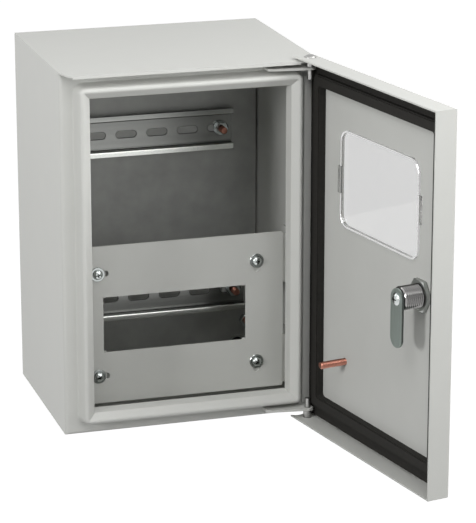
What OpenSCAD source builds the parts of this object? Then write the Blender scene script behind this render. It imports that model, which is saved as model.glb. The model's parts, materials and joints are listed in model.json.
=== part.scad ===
// Steel wall enclosure with a hinged, gasketed door, rain visor and gutter rim.
// +X is to the right seen from the front, +Y goes into the wall, +Z is up.
// The origin is the middle of the four wall-fixing holes, on the back face.

/* [Body] */
// Width over the side walls
body_w = 210; // [190:1:260]
// Height from the underside to the top of the roof plate
body_h = 300; // [280:1:360]
// Depth from the wall to the front flange
body_d = 160; // [140:1:200]
// Thickness of the painted steel sheet
sheet = 1.2; // [0.8:0.1:1.6]
// Outside bend radius between the walls and the front flange
body_bend = 3; // [2:0.5:4]
// How far the roof plate reaches out past the front flange
visor_reach = 16; // [8:1:17]
// Width of the hem folded back under the visor's front edge
visor_hem = 7; // [4:1:7]
// Width of the visor's slanted left corner
visor_corner = 4.5; // [2:0.5:8]

/* [Gutter rim] */
// From the side wall's outer face to the inner lip of the rim
rim_side = 24; // [22:0.5:30]
// From the roof and the underside to the inner lip of the rim
rim_end = 22; // [21:0.5:30]
// Height of the rim's crest above the flange
rim_proud = 12.5; // [11:0.5:16]
// Bend radius along the rim's crest, at mid-sheet
crest_r = 1.9; // [1.5:0.1:2.6]
// Distance of the crest's bend centre from the inner lip
crest_in = 8; // [7:0.5:9]
// How far the rim's mitres run in from the inner lip before the corners turn round
mitre_in = 5.5; // [4:0.5:6]
// Lean of the rim's outer wall
wall_lean = 14; // [5:1:20]
// Slope of the rim's front face towards the inner lip
face_slope = 37; // [20:1:45]

/* [Wall fixing] */
// From the side walls to the middle of the wall holes
wall_hole_side = 17; // [14:1:20]
// From the roof and the underside to the middle of the wall holes
wall_hole_end = 10; // [9:0.5:14]
// Radius of the wall holes
wall_hole_r = 3.5; // [2.5:0.5:4]
// Clearance around the wall screws' heads
screw_clear = 9; // [8:0.5:10]

/* [Mounting plate] */
// Gap between the back wall and the mounting plate
plate_gap = 7.3; // [5:0.1:12]
// Thickness of the mounting plate
plate_t = 1.5; // [1:0.1:3]
// Gap between the plate's edges and the side walls
plate_side_gap = 1.5; // [1:0.1:4]
// Gap between the plate's ends and the roof and the underside
plate_end_gap = 14; // [12:1:20]
// From the plate's side edges to its studs
plate_stud_side = 9.5; // [9:0.5:12]
// From the plate's ends to its studs
plate_stud_end = 20; // [18:1:40]
// Radius of the plate studs' thread
plate_stud_r = 3; // [2:0.5:4]

/* [Rails] */
// Length of each rail
rail_l = 160; // [150:1:180]
// Width over the rail's lips
rail_w = 35; // [35:1:35]
// Height of the rail from its base to its lips
rail_rise = 7.5; // [7.5:0.5:15]
// Sheet thickness of the rail
rail_t = 1; // [0.8:0.1:1.5]
// Length of a rail slot
slot_l = 18; // [12:1:18]
// Play of a stud in a rail slot, to each side
slot_play = 0.1; // [0.1:0.1:0.5]
// Distance from one rail slot to the next
slot_pitch = 27; // [25:1:36]
// From the rail's right end to the middle of its first slot
slot_start = 12; // [12:1:16]
// Height of the upper rail's middle above the origin
upper_rail_z = 59; // [40:1:90]
// How far the lower rail's feet lift it off the mounting plate
rail_foot_rise = 36; // [20:1:50]
// Length of an end slot left free beyond its stud
slot_free = 3.4; // [2:0.1:6]
// How far the pair of studs sits left of the middle of the slots
stud_shift = 0.5; // [0:0.1:1]
// Radius of the copper-plated studs
stud_r = 3; // [2:0.5:3]
// Length of the rail studs
rail_stud_l = 14; // [11:1:30]

/* [False panel] */
// Depth of the false panel behind the front flange
panel_in = 45; // [35:1:55]
// Width of the false panel
panel_w = 187; // [180:1:196]
// Height of the false panel
panel_h = 135; // [120:1:150]
// Gap between the floor and the false panel
panel_lift = 7; // [5:1:12]
// Width of the opening for the modular devices
window_w = 122; // [105:0.5:124]
// Height of the opening for the modular devices
window_h = 47.5; // [45:0.5:50]
// Distance between the panel screws across
panel_screw_w = 136; // [134:1:140]
// Distance between the panel screws up and down
panel_screw_h = 88; // [80:1:94]
// How far the screws sit to the right of the panel's middle
screw_shift = 2.5; // [0:0.5:3]
// Radius of the panel screws
screw_r = 2; // [1.5:0.5:2.5]
// Length of the panel's slots
panel_slot_l = 13; // [9:1:14]
// Height of one panel bracket
bracket_h = 42; // [30:1:46]

/* [Door] */
// How far the door's edges stand out past the body's sides, roof and underside
door_over = 2.2; // [2:0.1:4]
// Outside bend radius along the door's edges
door_bend = 2.2; // [1.8:0.1:3]
// Gap between the door's free flanges and the plane of the body's flange
flange_gap = 1.2; // [1:0.1:3]
// How far the door stands open at rest
open_angle = 101; // [0:1:105]
// From the door's hinge-side edge to the hinge axis
hinge_in = 10; // [9:0.5:11]
// From the body's flange out to the hinge axis
hinge_out = 11.5; // [11:0.5:13]
// Depth of the door's short flange on the hinge side
short_flange = 9.2; // [7:0.1:9.4]
// Radius of the hinge pins
pin_r = 2.5; // [2:0.25:3]
// Running clearance around the hinge pins and the lock plug
run_gap = 0.05; // [0.02:0.01:0.1]
// Clearance left where pieces of different bodies nearly touch
near_gap = 0.3; // [0.2:0.1:0.6]

/* [Gasket] */
// Height of the gasket's bead above the door sheet
bead_h = 6.5; // [5:0.5:9]
// Height of the gasket's flat base above the door sheet
base_h = 2.4; // [1:0.1:3]
// Distance of the gasket's inner edge from the door's edge
gasket_in = 22; // [21:0.5:26]
// Width of the bead
bead_w = 9; // [8:0.5:10]
// Distance of the gasket's outer edge from the door's edge
gasket_out = 3; // [2:0.5:8]

/* [Door window] */
// Width of the window opening
pane_w = 118; // [80:1:130]
// Height of the window opening
pane_h = 80; // [50:1:90]
// Corner radius of the window opening
pane_r = 11; // [4:1:20]
// Height of the window's middle above the origin
pane_z = 62; // [50:1:70]
// Width of the window's outer border
pane_border = 4; // [2:0.5:8]
// Thickness of the clear window
pane_t = 1.5; // [1:0.1:3]

/* [Lock] */
// From the door's free edge to the lock's axis
lock_in = 43; // [43:0.5:50]
// Height of the lock's axis above the origin
lock_z = -2; // [-20:1:20]
// Radius of the lock's threaded barrel
barrel_r = 9.3; // [8:0.1:10]
// Radius of the plug that the key turns
plug_r = 6; // [5:0.1:7]
// Width of the nut across its flats
lock_nut_w = 24; // [22:0.5:26]
// Thickness of the lock nut
lock_nut_t = 3.8; // [3:0.1:6]
// Width of the cam
cam_w = 16.5; // [12:0.5:17]
// Thickness of the cam
cam_t = 1.8; // [1.5:0.1:3]
// Gap between the cam's tip and the side wall when the door is locked
cam_tip_gap = 0.8; // [0.5:0.1:6]

/* [Earthing and cable entries] */
// Length of the door's earth stud
earth_l = 23; // [15:1:24]
// Radius of the earth studs
earth_r = 3; // [2.5:0.5:4]
// From the door's hinge-side edge to its earth stud
earth_in = 57; // [40:1:80]
// Height of the door's earth stud below the origin
earth_down = 90; // [70:1:110]
// Distance between the two cable entries
entry_w = 84; // [60:1:100]
// From the wall to the middle of the cable entries
entry_out = 58; // [50:1:66]
// Radius of the hole in the underside for a grommet
entry_hole_r = 11; // [8:0.5:14]
// Radius of the grommet's bore
entry_bore_r = 7; // [4:0.5:8]

/* [Hidden] */

paint = [0.80, 0.80, 0.77];
zinc = [0.70, 0.72, 0.72];
copper = [0.72, 0.42, 0.30];
bright = [0.82, 0.82, 0.84];
foam = [0.12, 0.12, 0.12];
clear = [0.85, 0.92, 0.95, 0.4];

$fn = 48;
arc_steps = 6;
weld = 0.01;
cut = 20;

half_w = body_w / 2;
half_h = body_h / 2;
shell_top = half_h - sheet;
front_y = -body_d;

// Seen in section: m runs outwards from the rim's inner lip, q runs forwards from the flange.
crest_q = rim_proud - crest_r - sheet / 2;
crest_a = [for (k = [0:arc_steps * 2]) wall_lean + (90 + face_slope - wall_lean) * k / (arc_steps * 2)];
crest_arc = [for (a = crest_a) [crest_in + crest_r * cos(a), crest_q + crest_r * sin(a)]];
root_m = crest_arc[0][0] + (crest_arc[0][1] + sheet / 2) * tan(wall_lean);
root_bend = 1.6;
lip_lean = 1.6;
lip_m = sheet / 2 + 0.05;
face_end = crest_arc[arc_steps * 2];
lip_corner = [lip_m + lip_lean, face_end[1] - (face_end[0] - lip_m - lip_lean) * tan(face_slope)];
flange_m = root_m + root_bend + 1;

plate_y = -sheet - plate_gap;
plate_front = plate_y - plate_t;
plate_w = body_w - 2 * sheet - 2 * plate_side_gap;
plate_h = body_h - 2 * plate_end_gap;
plate_stud_w = plate_w - 2 * plate_stud_side;
plate_stud_h = plate_h - 2 * plate_stud_end;
wall_hole_w = body_w - 2 * wall_hole_side;
wall_hole_h = body_h - 2 * wall_hole_end;
nut_w = 10;
nut_t = 5;
stud_collar = 2;
stud_past_nut = 4;
earth_wall_in = 30;
earth_stud_l = 20;
earth_washer_rim = 3.5;
grommet_lip = 3;
grommet_neck = 5;
panel_screw_l = 9;
panel_head_r = 4;
panel_head_h = 2.6;
washer_r = 6;
washer_t = 1;

panel_y = front_y + panel_in;
panel_z = -half_h + sheet + panel_lift + panel_h / 2;
bracket_t = 1.5;
foot_w = 26;
foot_half = 8;
foot_reach = 22;
bracket_leg = 26;
bracket_pad = 26;

lower_rail_z = panel_z;
slot_w = 2 * (stud_r + slot_play);
rail_slots = floor((rail_l - 2 * slot_start) / slot_pitch);
slots_half = rail_slots * slot_pitch / 2;
studs_x = rail_l / 2 - slot_start - slots_half - stud_shift;
stud_reach = slots_half + (slot_l - slot_w) / 2 - slot_free;
lower_rail_y = plate_front - rail_foot_rise;

door_w = body_w + 2 * door_over;
door_h = body_h + 2 * door_over;
bead_clear = near_gap;
door_face = rim_proud + bead_clear + bead_h + sheet;
door_d = door_face - flange_gap;
hinge_x = half_w + door_over - hinge_in;
hinge_t = door_face - hinge_out;
hinge_plate_t = 2;
hinge_plate_l = 35;
hinge_plate_z = half_h - rim_end + root_m + root_bend + near_gap;
eye_r = pin_r + 2;
hinge_slot_z = hinge_plate_z + hinge_plate_t / 2;
hinge_slot_h = hinge_plate_t + 1.6;
pin_past = 8;
bush_r = pin_r + 1.2;
head_r = 4.8;
head_h = 2.2;

lock_s = door_w - lock_in;
cam_front = door_face + sheet + 0.5;
cam_l = half_w - sheet - cam_tip_gap + (half_w + door_over - lock_s);
lock_head_r = barrel_r + 2.2;
lock_head_t = 2.5;
tail_w = 7;

// Geometry helpers ---------------------------------------------------------

function toward(a, b) = (b - a) / norm(b - a);
function turned(v) = [-v[1], v[0]];

// Unit side step of a bent path at point i, lengthened where it bends.
function side_step(path, i) =
    let (n = len(path),
        a = i == 0 ? toward(path[0], path[1]) : toward(path[i - 1], path[i]),
        b = i == n - 1 ? toward(path[n - 2], path[n - 1]) : toward(path[i], path[i + 1]),
        s = turned(a) + turned(b))
    s * 2 / (s * s);

// Closed outline of a sheet of thickness t bent along a path.
function strip(path, t) = concat(
    [for (i = [0:len(path) - 1]) path[i] + side_step(path, i) * t / 2],
    [for (i = [len(path) - 1:-1:0]) path[i] - side_step(path, i) * t / 2]);

// Arc of radius r that rounds corner b between a and c.
function bend(a, b, c, r, steps = arc_steps) =
    let (u = toward(b, a), v = toward(b, c), half = acos(u * v) / 2,
        centre = b + (u + v) / norm(u + v) * r / sin(half),
        from = b + u * r / tan(half) - centre, to = b + v * r / tan(half) - centre,
        a0 = atan2(from[1], from[0]), turn = (atan2(to[1], to[0]) - a0 + 900) % 360 - 180)
    [for (k = [0:steps]) centre + r * [cos(a0 + turn * k / steps), sin(a0 + turn * k / steps)]];

// Path through the points, with every inner corner rounded.
function folded(p, r) = [
    p[0],
    for (i = [1:len(p) - 2]) each bend(p[i - 1], p[i], p[i + 1], r),
    p[len(p) - 1]];

module ring(r_out, r_in, h) {
    difference() {
        cylinder(r = r_out, h = h);
        translate([0, 0, -cut]) cylinder(r = r_in, h = h + 2 * cut);
    }
}

module rounded_plate(w, h, r, t) {
    linear_extrude(t) rounded_outline(w, h, r);
}

module rounded_outline(w, h, r) {
    square([w - 2 * r, h], center = true);
    square([w, h - 2 * r], center = true);
    for (x = [-1, 1]) for (y = [-1, 1]) translate([x * (w / 2 - r), y * (h / 2 - r)]) circle(r);
}

module slot(length, width, t) {
    translate([-(length - width) / 2, 0, 0]) cylinder(d = width, h = t);
    translate([(length - width) / 2, 0, 0]) cylinder(d = width, h = t);
    translate([-(length - width) / 2, -width / 2, 0]) cube([length - width, width, t]);
}

// Lays a shape drawn in XY with its thickness along +Z so that its thickness runs forwards from y.
module facing_front(y) {
    translate([0, y, 0]) rotate([90, 0, 0]) children();
}

// Box open to the back, with its front edges bent to radius r: w across, h up, d deep.
module pan_block(w, h, d, r) {
    side = folded([[-w / 2, 0], [-w / 2, -d], [w / 2, -d], [w / 2, 0]], r);
    rise = folded([[-h / 2, 0], [-h / 2, -d], [h / 2, -d], [h / 2, 0]], r);
    intersection() {
        translate([0, 0, -h / 2]) linear_extrude(h) polygon(side);
        translate([-w / 2, 0, 0]) rotate([90, 0, 90]) linear_extrude(w)
            polygon([for (p = rise) [p[1], p[0]]]);
    }
}

// Places children at the four corners of a rectangle seen from the front.
module at_corners(w, h) {
    for (x = [-1, 1]) for (z = [-1, 1]) translate([x * w / 2, 0, z * h / 2]) children();
}

// Fasteners ------------------------------------------------------------------

module stud(r, length) {
    chamfer = 0.6;
    facing_front(0) {
        cylinder(r = r, h = length - chamfer);
        translate([0, 0, length - chamfer]) cylinder(r1 = r, r2 = r - chamfer, h = chamfer);
    }
}

module nut(width, hole_r, t) {
    facing_front(0) difference() {
        intersection() {
            cylinder(d = width / cos(30), h = t, $fn = 6);
            rotate_extrude() polygon([[0, 0], [width / 2, 0], [width / 1.73, 0.6],
                [width / 1.73, t - 0.6], [width / 2, t], [0, t]]);
        }
        translate([0, 0, -weld]) cylinder(r = hole_r, h = t + 2 * weld);
    }
}

module washer(r, hole_r, t) {
    facing_front(0) difference() {
        cylinder(r = r, h = t);
        translate([0, 0, -weld]) cylinder(r = hole_r, h = t + 2 * weld);
    }
}

module cross_screw(r, length, head, rise) {
    facing_front(0) {
        translate([0, 0, -length]) cylinder(r = r, h = length);
        difference() {
            rotate_extrude() polygon(concat([[0, 0]],
                [for (k = [0:arc_steps]) [head * cos(75 * k / arc_steps), rise * sin(75 * k / arc_steps) / sin(75)]],
                [[0, rise]]));
            for (a = [0, 90]) rotate(a) translate([-head * 0.55, -0.45, rise * 0.45]) cube([head * 1.1, 0.9, rise]);
        }
    }
}

// Body -----------------------------------------------------------------------

// Folded section of the gutter rim: flange, root, leaning wall, crest, face and lip.
function rim_section() = strip(concat([[flange_m, -sheet / 2]],
    bend([flange_m, -sheet / 2], [root_m, -sheet / 2], crest_arc[0], root_bend),
    crest_arc, bend(face_end, lip_corner, [lip_m, 0], 1), [[lip_m, 0]]), sheet);

// Part of the section on the lip's side (or on the flange's side) of the line m = mitre_in.
module rim_part(inner) {
    intersection() {
        polygon(rim_section());
        translate([inner ? 0 : mitre_in, -cut]) square([inner ? mitre_in : cut, 2 * cut]);
    }
}

// One straight length of the rim along Z, drawn outwards from its inner lip at x = 0.
module rim_side_length(length) {
    end = length / 2 + mitre_in;
    translate([0, 0, -end]) linear_extrude(2 * end) mirror([0, 1]) rim_part(false);
    intersection() {
        translate([0, 0, -end]) linear_extrude(2 * end) mirror([0, 1]) rim_part(true);
        rotate([90, 0, 0]) translate([0, 0, -cut]) linear_extrude(2 * cut)
            polygon([[0, -length / 2], [mitre_in, -end], [mitre_in, end], [0, length / 2]]);
    }
}

// Gutter rim around the rectangle of its inner lip: mitred face, corners turned round outside it.
module rim_loop(w, h) {
    for (a = [0, 90, 180, 270]) {
        across = a % 180 == 0 ? w : h;
        along = a % 180 == 0 ? h : w;
        rotate([0, a, 0]) {
            translate([across / 2, 0, 0]) rim_side_length(along);
            translate([across / 2 + mitre_in, 0, along / 2 + mitre_in]) rotate([90, 0, 0])
                rotate_extrude(angle = 90) translate([-mitre_in, 0]) rim_part(false);
        }
    }
}

module body_shell() {
    lip_w = body_w - 2 * rim_side;
    lip_h = body_h - 2 * rim_end;
    hole_w = lip_w + 2 * (flange_m - 0.5);
    hole_h = lip_h + 2 * (flange_m - 0.5);
    shell_h = body_h - sheet;
    color(paint) {
        difference() {
            translate([0, 0, -sheet / 2]) pan_block(body_w, shell_h, body_d, body_bend);
            translate([0, weld, -sheet / 2]) pan_block(body_w - 2 * sheet, shell_h - 2 * sheet,
                body_d - sheet + weld, body_bend - sheet);
            facing_front(front_y + cut) rounded_plate(hole_w, hole_h, flange_m - 0.5, 2 * cut);
            for (x = [-1, 1]) translate([x * entry_w / 2, -entry_out, -half_h - cut])
                cylinder(r = entry_hole_r + near_gap / 3, h = cut + 5);
        }
        translate([0, front_y, 0]) rim_loop(lip_w, lip_h);
    }
}

module roof_plate() {
    visor_y = front_y - visor_reach;
    notch_x = hinge_x - bush_r - near_gap;
    corner = bend([-half_w, front_y], [-half_w + visor_corner, visor_y], [0, visor_y], 5);
    outline = concat([[-half_w, 0], [-half_w, front_y]], corner,
        bend([0, visor_y], [notch_x, visor_y], [notch_x, front_y], 2),
        bend([notch_x, visor_y], [notch_x, front_y], [half_w, front_y], 2),
        [[half_w, front_y], [half_w, 0]]);
    color(paint) translate([0, 0, shell_top]) {
        linear_extrude(sheet) polygon(outline);
        translate([0, 0, -sheet]) linear_extrude(sheet + weld) intersection() {
            polygon(outline);
            translate([-half_w + visor_corner + 3, visor_y]) square([body_w - visor_corner - 20, visor_hem]);
        }
    }
}

module back_wall() {
    color(paint) difference() {
        facing_front(0) translate([-half_w + sheet, -half_h + sheet, 0])
            cube([body_w - 2 * sheet, body_h - 3 * sheet, sheet]);
        at_corners(wall_hole_w, wall_hole_h) facing_front(cut) cylinder(r = wall_hole_r, h = 2 * cut);
    }
}

module mounting_plate() {
    color(zinc) difference() {
        facing_front(plate_y) rounded_plate(plate_w, plate_h, 4, plate_t);
        at_corners(2 * half_w, 2 * half_h) facing_front(cut)
            rounded_plate(2 * (wall_hole_side + screw_clear), 2 * (wall_hole_end + screw_clear), 5, 3 * cut);
        at_corners(plate_stud_w, plate_stud_h) facing_front(cut)
            cylinder(r = plate_stud_r + near_gap, h = 3 * cut);
    }
}

module plate_studs() {
    color(copper) at_corners(plate_stud_w, plate_stud_h) translate([0, -sheet, 0]) {
        facing_front(0) cylinder(r = plate_stud_r + stud_collar, h = plate_gap);
        stud(plate_stud_r, plate_gap + plate_t + nut_t + stud_past_nut);
    }
}

module plate_nuts() {
    color(bright) at_corners(plate_stud_w, plate_stud_h) translate([0, plate_front, 0])
        nut(nut_w, plate_stud_r + run_gap, nut_t);
}

// Top-hat rail along X, its base at y = 0 and its lips towards -Y.
module din_rail() {
    web_w = 27 - rail_t;
    lip = rail_rise - rail_t / 2;
    half = [[rail_w / 2, lip], [web_w / 2, lip], [web_w / 2, rail_t / 2]];
    path = concat([half[0]], bend(half[0], half[1], half[2], 1, 3),
        bend(half[1], half[2], [0, rail_t / 2], 1, 3));
    whole = concat(path, [for (i = [len(path) - 1:-1:0]) [-path[i][0], path[i][1]]]);
    difference() {
        translate([-rail_l / 2, 0, 0]) rotate([90, 0, 90]) linear_extrude(rail_l)
            polygon([for (p = strip(whole, rail_t)) [-p[1], p[0]]]);
        for (i = [0:rail_slots]) translate([rail_l / 2 - slot_start - i * slot_pitch, 0, 0])
            facing_front(cut / 2) slot(slot_l, slot_w, cut);
    }
}

module upper_din_rail() {
    color(bright) translate([0, plate_front, upper_rail_z]) din_rail();
}

module lower_din_rail() {
    color(bright) translate([0, lower_rail_y, lower_rail_z]) din_rail();
}

// Two bent feet that carry the lower rail off the mounting plate.
module rail_feet() {
    t = bracket_t;
    top = rail_foot_rise - t / 2;
    foot = folded([[foot_reach, t / 2], [foot_half, t / 2], [foot_half, top], [-foot_half, top]], 2);
    color(zinc) for (s = [-1, 1]) translate([studs_x + s * stud_reach, plate_front, lower_rail_z - foot_w / 2])
        difference() {
            linear_extrude(foot_w) polygon([for (p = strip(foot, t)) [-s * p[0], -p[1]]]);
            translate([0, 0, foot_w / 2]) facing_front(0)
                cylinder(r = stud_r + near_gap / 3, h = 2 * rail_foot_rise);
        }
}

// The upper rail's studs are welded to the plate, the lower rail's are pressed into its feet.
module rail_stud_places() {
    for (s = [-1, 1]) {
        translate([studs_x + s * stud_reach, plate_front, upper_rail_z]) children();
        translate([studs_x + s * stud_reach, lower_rail_y, lower_rail_z]) children();
    }
}

module rail_studs() {
    color(copper) rail_stud_places() stud(stud_r, rail_stud_l);
}

module rail_washers() {
    color(bright) rail_stud_places() translate([0, -rail_t, 0]) washer(washer_r, stud_r + run_gap, washer_t);
}

module rail_nuts() {
    color(bright) rail_stud_places() translate([0, -rail_t - washer_t, 0]) nut(nut_w, stud_r + run_gap, nut_t);
}

// False panel ------------------------------------------------------------------

module at_panel_screws() {
    for (x = [-1, 1]) for (z = [-1, 1])
        translate([screw_shift + x * panel_screw_w / 2, 0, panel_z + z * panel_screw_h / 2]) children();
}

module false_panel() {
    screw_slot_w = 2 * screw_r + 1.4;
    color(paint) difference() {
        facing_front(panel_y + sheet) translate([0, panel_z, 0]) rounded_plate(panel_w, panel_h, 1.5, sheet);
        facing_front(panel_y + cut) translate([-window_w / 2, panel_z - window_h / 2, 0])
            cube([window_w, window_h, 2 * cut]);
        for (z = [-1, 1]) {
            translate([screw_shift - panel_screw_w / 2 + 3, 0, panel_z + z * panel_screw_h / 2])
                facing_front(panel_y + cut) slot(panel_slot_l, screw_slot_w, 2 * cut);
            translate([screw_shift + panel_screw_w / 2, 0, panel_z + z * panel_screw_h / 2 - 3])
                facing_front(panel_y + cut) rotate(90) slot(panel_slot_l, screw_slot_w, 2 * cut);
        }
    }
}

// Two angle brackets on one side wall (s = -1 left, 1 right), one behind each panel screw.
module panel_brackets(s) {
    wall_x = half_w - sheet - bracket_t / 2;
    pad_y = panel_y + sheet + bracket_t / 2;
    pad_x = panel_screw_w / 2 - bracket_pad / 4 - 3;
    path = folded([[wall_x, pad_y + bracket_leg], [wall_x, pad_y], [pad_x, pad_y]], 2);
    for (z = [-1, 1]) translate([0, 0, panel_z + z * panel_screw_h / 2]) difference() {
        translate([0, 0, -bracket_h / 2]) linear_extrude(bracket_h)
            polygon([for (p = strip(path, bracket_t)) [s * p[0], p[1]]]);
        translate([screw_shift + s * panel_screw_w / 2, 0, 0]) facing_front(panel_y + cut)
            cylinder(r = screw_r + run_gap, h = 2 * cut);
    }
}

module panel_brackets_left() {
    color(paint) panel_brackets(-1);
}

module panel_brackets_right() {
    color(paint) panel_brackets(1);
}

module panel_screws() {
    color(bright) at_panel_screws() translate([0, panel_y - washer_t, 0]) cross_screw(screw_r, panel_screw_l, panel_head_r, panel_head_h);
}

module panel_washers() {
    color(bright) at_panel_screws() translate([0, panel_y, 0]) washer(washer_r, screw_r + run_gap, washer_t);
}

// Hinge brackets -----------------------------------------------------------------

// Flat tongue welded to the flange between the rim and the visor, with the eye for the hinge pin.
module hinge_bracket(z) {
    eye_y = front_y - hinge_out;
    left_x = hinge_x - hinge_plate_l;
    tip = hinge_out + eye_r;
    translate([0, 0, z]) difference() {
        linear_extrude(hinge_plate_t) {
            polygon([[left_x, front_y], [left_x, front_y - tip * 0.62], [left_x + 3, front_y - tip * 0.72],
                [hinge_x, eye_y - eye_r], [hinge_x + eye_r, eye_y], [hinge_x + eye_r / 2, front_y]]);
            translate([hinge_x, eye_y]) circle(eye_r);
        }
        translate([hinge_x, eye_y, -cut]) cylinder(r = pin_r + run_gap, h = 2 * cut);
    }
}

module hinge_bracket_top() {
    color(paint) hinge_bracket(hinge_plate_z);
}

module hinge_bracket_bottom() {
    color(paint) hinge_bracket(-hinge_plate_z - hinge_plate_t);
}

// Earthing and cable entries --------------------------------------------------------

module body_earth_stud() {
    color(copper) translate([half_w - earth_wall_in, -body_d * 0.36, -half_h + sheet]) rotate([-90, 0, 0])
        stud(earth_r, earth_stud_l);
}

module body_earth_nut() {
    color(bright) translate([half_w - earth_wall_in, -body_d * 0.36, -half_h + sheet]) rotate([-90, 0, 0]) {
        washer(earth_r + earth_washer_rim, earth_r + run_gap, washer_t);
        translate([0, -washer_t, 0]) nut(nut_w, earth_r + run_gap, nut_t);
    }
}

module cable_grommets() {
    lip_r = entry_hole_r + grommet_lip;
    top = sheet + grommet_neck;
    section = [[entry_bore_r, -grommet_lip], [lip_r, -grommet_lip], [lip_r, 0], [entry_hole_r, 0],
        [entry_hole_r, sheet], [lip_r - 1, sheet], [entry_bore_r + 1.5, top], [entry_bore_r, top]];
    color(foam) for (x = [-1, 1]) translate([x * entry_w / 2, -entry_out, -half_h])
        rotate_extrude() polygon(section);
}

// Door ---------------------------------------------------------------------------------

// Puts children, drawn on the closed door, at the door's resting angle.
module on_door() {
    axis = [hinge_x, front_y - hinge_out, 0];
    translate(axis) rotate(open_angle) translate(-axis) children();
}

// Places a piece by s from the hinge-side edge, t in from the outer face, z above the origin,
// with its own +Z along the door's inward direction.
module in_door(s, t, z) {
    translate([half_w + door_over - s, front_y - door_face + t, z]) rotate([-90, 0, 0]) children();
}

module door_pan() {
    skin_y = front_y - door_face;
    flange_z = door_h / 2 - sheet;
    color(paint) on_door() difference() {
        translate([0, skin_y + door_d, 0]) pan_block(door_w, door_h, door_d, door_bend);
        translate([0, skin_y + door_d + weld, 0]) pan_block(door_w - 2 * sheet, door_h - 2 * sheet,
            door_d - sheet + weld, door_bend - sheet);
        translate([door_w / 2 - 2 * sheet, skin_y + short_flange, -flange_z]) cube([cut, cut, 2 * flange_z]);
        for (z = [-1, 1]) {
            translate([hinge_x, skin_y + hinge_t, z * door_h / 2 - cut / 2]) cylinder(r = pin_r + run_gap, h = cut);
            translate([door_w / 2 + 4.5, skin_y + short_flange + 3.5, z * door_h / 2 - cut / 2])
                cylinder(r = 7.5, h = cut);
            translate([door_w / 2 - door_bend - 0.2, skin_y + sheet, z * hinge_slot_z - hinge_slot_h / 2])
                cube([cut, cut, hinge_slot_h]);
        }
        in_door(door_w / 2, -cut / 2, pane_z) rounded_plate(pane_w, pane_h, pane_r, cut);
        in_door(lock_s, -cut / 2, lock_z) cylinder(r = barrel_r + near_gap, h = cut);
    }
}

// Foam gasket: a flat base with two ridges, and a raised bead that meets the rim's crest.
module door_gasket() {
    module loop(outer, inner, corner, t0, t1) {
        in_door(door_w / 2, t0, 0) difference() {
            rounded_plate(door_w - 2 * outer, door_h - 2 * outer, corner, t1 - t0);
            translate([0, 0, -weld]) rounded_plate(door_w - 2 * inner, door_h - 2 * inner, 3, t1 - t0 + 2 * weld);
        }
    }
    bead_out = gasket_in - bead_w;
    color(foam) on_door() {
        loop(gasket_out, gasket_in, 4, sheet, sheet + base_h);
        loop(bead_out, gasket_in, 3, sheet + base_h, sheet + bead_h - 1);
        loop(bead_out + 1, gasket_in - 1, 3, sheet + bead_h - 1, sheet + bead_h);
    }
}

// Clear moulded window: outer border, a body through the sheet and two snap tabs inside.
module window_pane() {
    edge = near_gap;
    tab = 22;
    color(clear) on_door() difference() {
        union() {
            in_door(door_w / 2, -pane_t, pane_z)
                rounded_plate(pane_w + 2 * pane_border, pane_h + 2 * pane_border, pane_r + pane_border, pane_t);
            in_door(door_w / 2, -weld, pane_z)
                rounded_plate(pane_w - 2 * edge, pane_h - 2 * edge, pane_r - edge, sheet + pane_t);
            for (s = [-1, 1]) in_door(door_w / 2 + s * (pane_w / 2 - 0.5), sheet + 0.2, pane_z + s * 2)
                translate([-3.5, -tab / 2, 0]) cube([7, tab, pane_t]);
        }
        in_door(door_w / 2, 0, pane_z)
            rounded_plate(pane_w - 2 * edge - 3, pane_h - 2 * edge - 3, pane_r - edge - 1.5, cut);
    }
}

// Hinge pin with a domed head on the outside of the door's flange; it points to -Z.
module hinge_pin() {
    z0 = door_h / 2;
    z1 = hinge_plate_z - pin_past;
    translate([0, 0, z1]) cylinder(r = pin_r, h = z0 - z1 + weld);
    translate([0, 0, z0]) rotate_extrude() polygon(concat([[0, 0]],
        [for (k = [0:arc_steps]) [head_r * cos(80 * k / arc_steps), head_h * sin(80 * k / arc_steps) / sin(80)]],
        [[0, head_h]]));
}

module hinge_pin_top() {
    color(bright) on_door() translate([hinge_x, front_y - hinge_out, 0]) hinge_pin();
}

module hinge_pin_bottom() {
    color(bright) on_door() translate([hinge_x, front_y - hinge_out, 0]) mirror([0, 0, 1]) hinge_pin();
}

module hinge_bushes() {
    low = hinge_plate_z + hinge_plate_t + near_gap / 2;
    color(bright) on_door() for (s = [0, 1]) translate([hinge_x, front_y - hinge_out, 0]) mirror([0, 0, s])
        translate([0, 0, low]) ring(bush_r, pin_r + run_gap, door_h / 2 - sheet - low);
}

module lock_barrel() {
    color(bright) on_door() in_door(lock_s, 0, lock_z) difference() {
        union() {
            cylinder(r = barrel_r, h = cam_front - 1);
            translate([0, 0, -lock_head_t]) cylinder(r1 = lock_head_r - 1, r2 = lock_head_r, h = 1);
            translate([0, 0, 1 - lock_head_t]) cylinder(r = lock_head_r, h = lock_head_t - 1);
        }
        translate([0, 0, -cut]) cylinder(r = plug_r + run_gap, h = 3 * cut);
    }
}

module lock_nut() {
    color(bright) on_door() in_door(lock_s, sheet, lock_z) rotate([90, 0, 0]) mirror([0, 1, 0])
        nut(lock_nut_w, barrel_r + run_gap, lock_nut_t);
}

module door_earth_stud() {
    color(copper) on_door() in_door(earth_in, sheet, -earth_down) rotate([90, 0, 0]) mirror([0, 1, 0])
        stud(earth_r, earth_l);
}

// Lock parts that the key turns ------------------------------------------------------------

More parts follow.
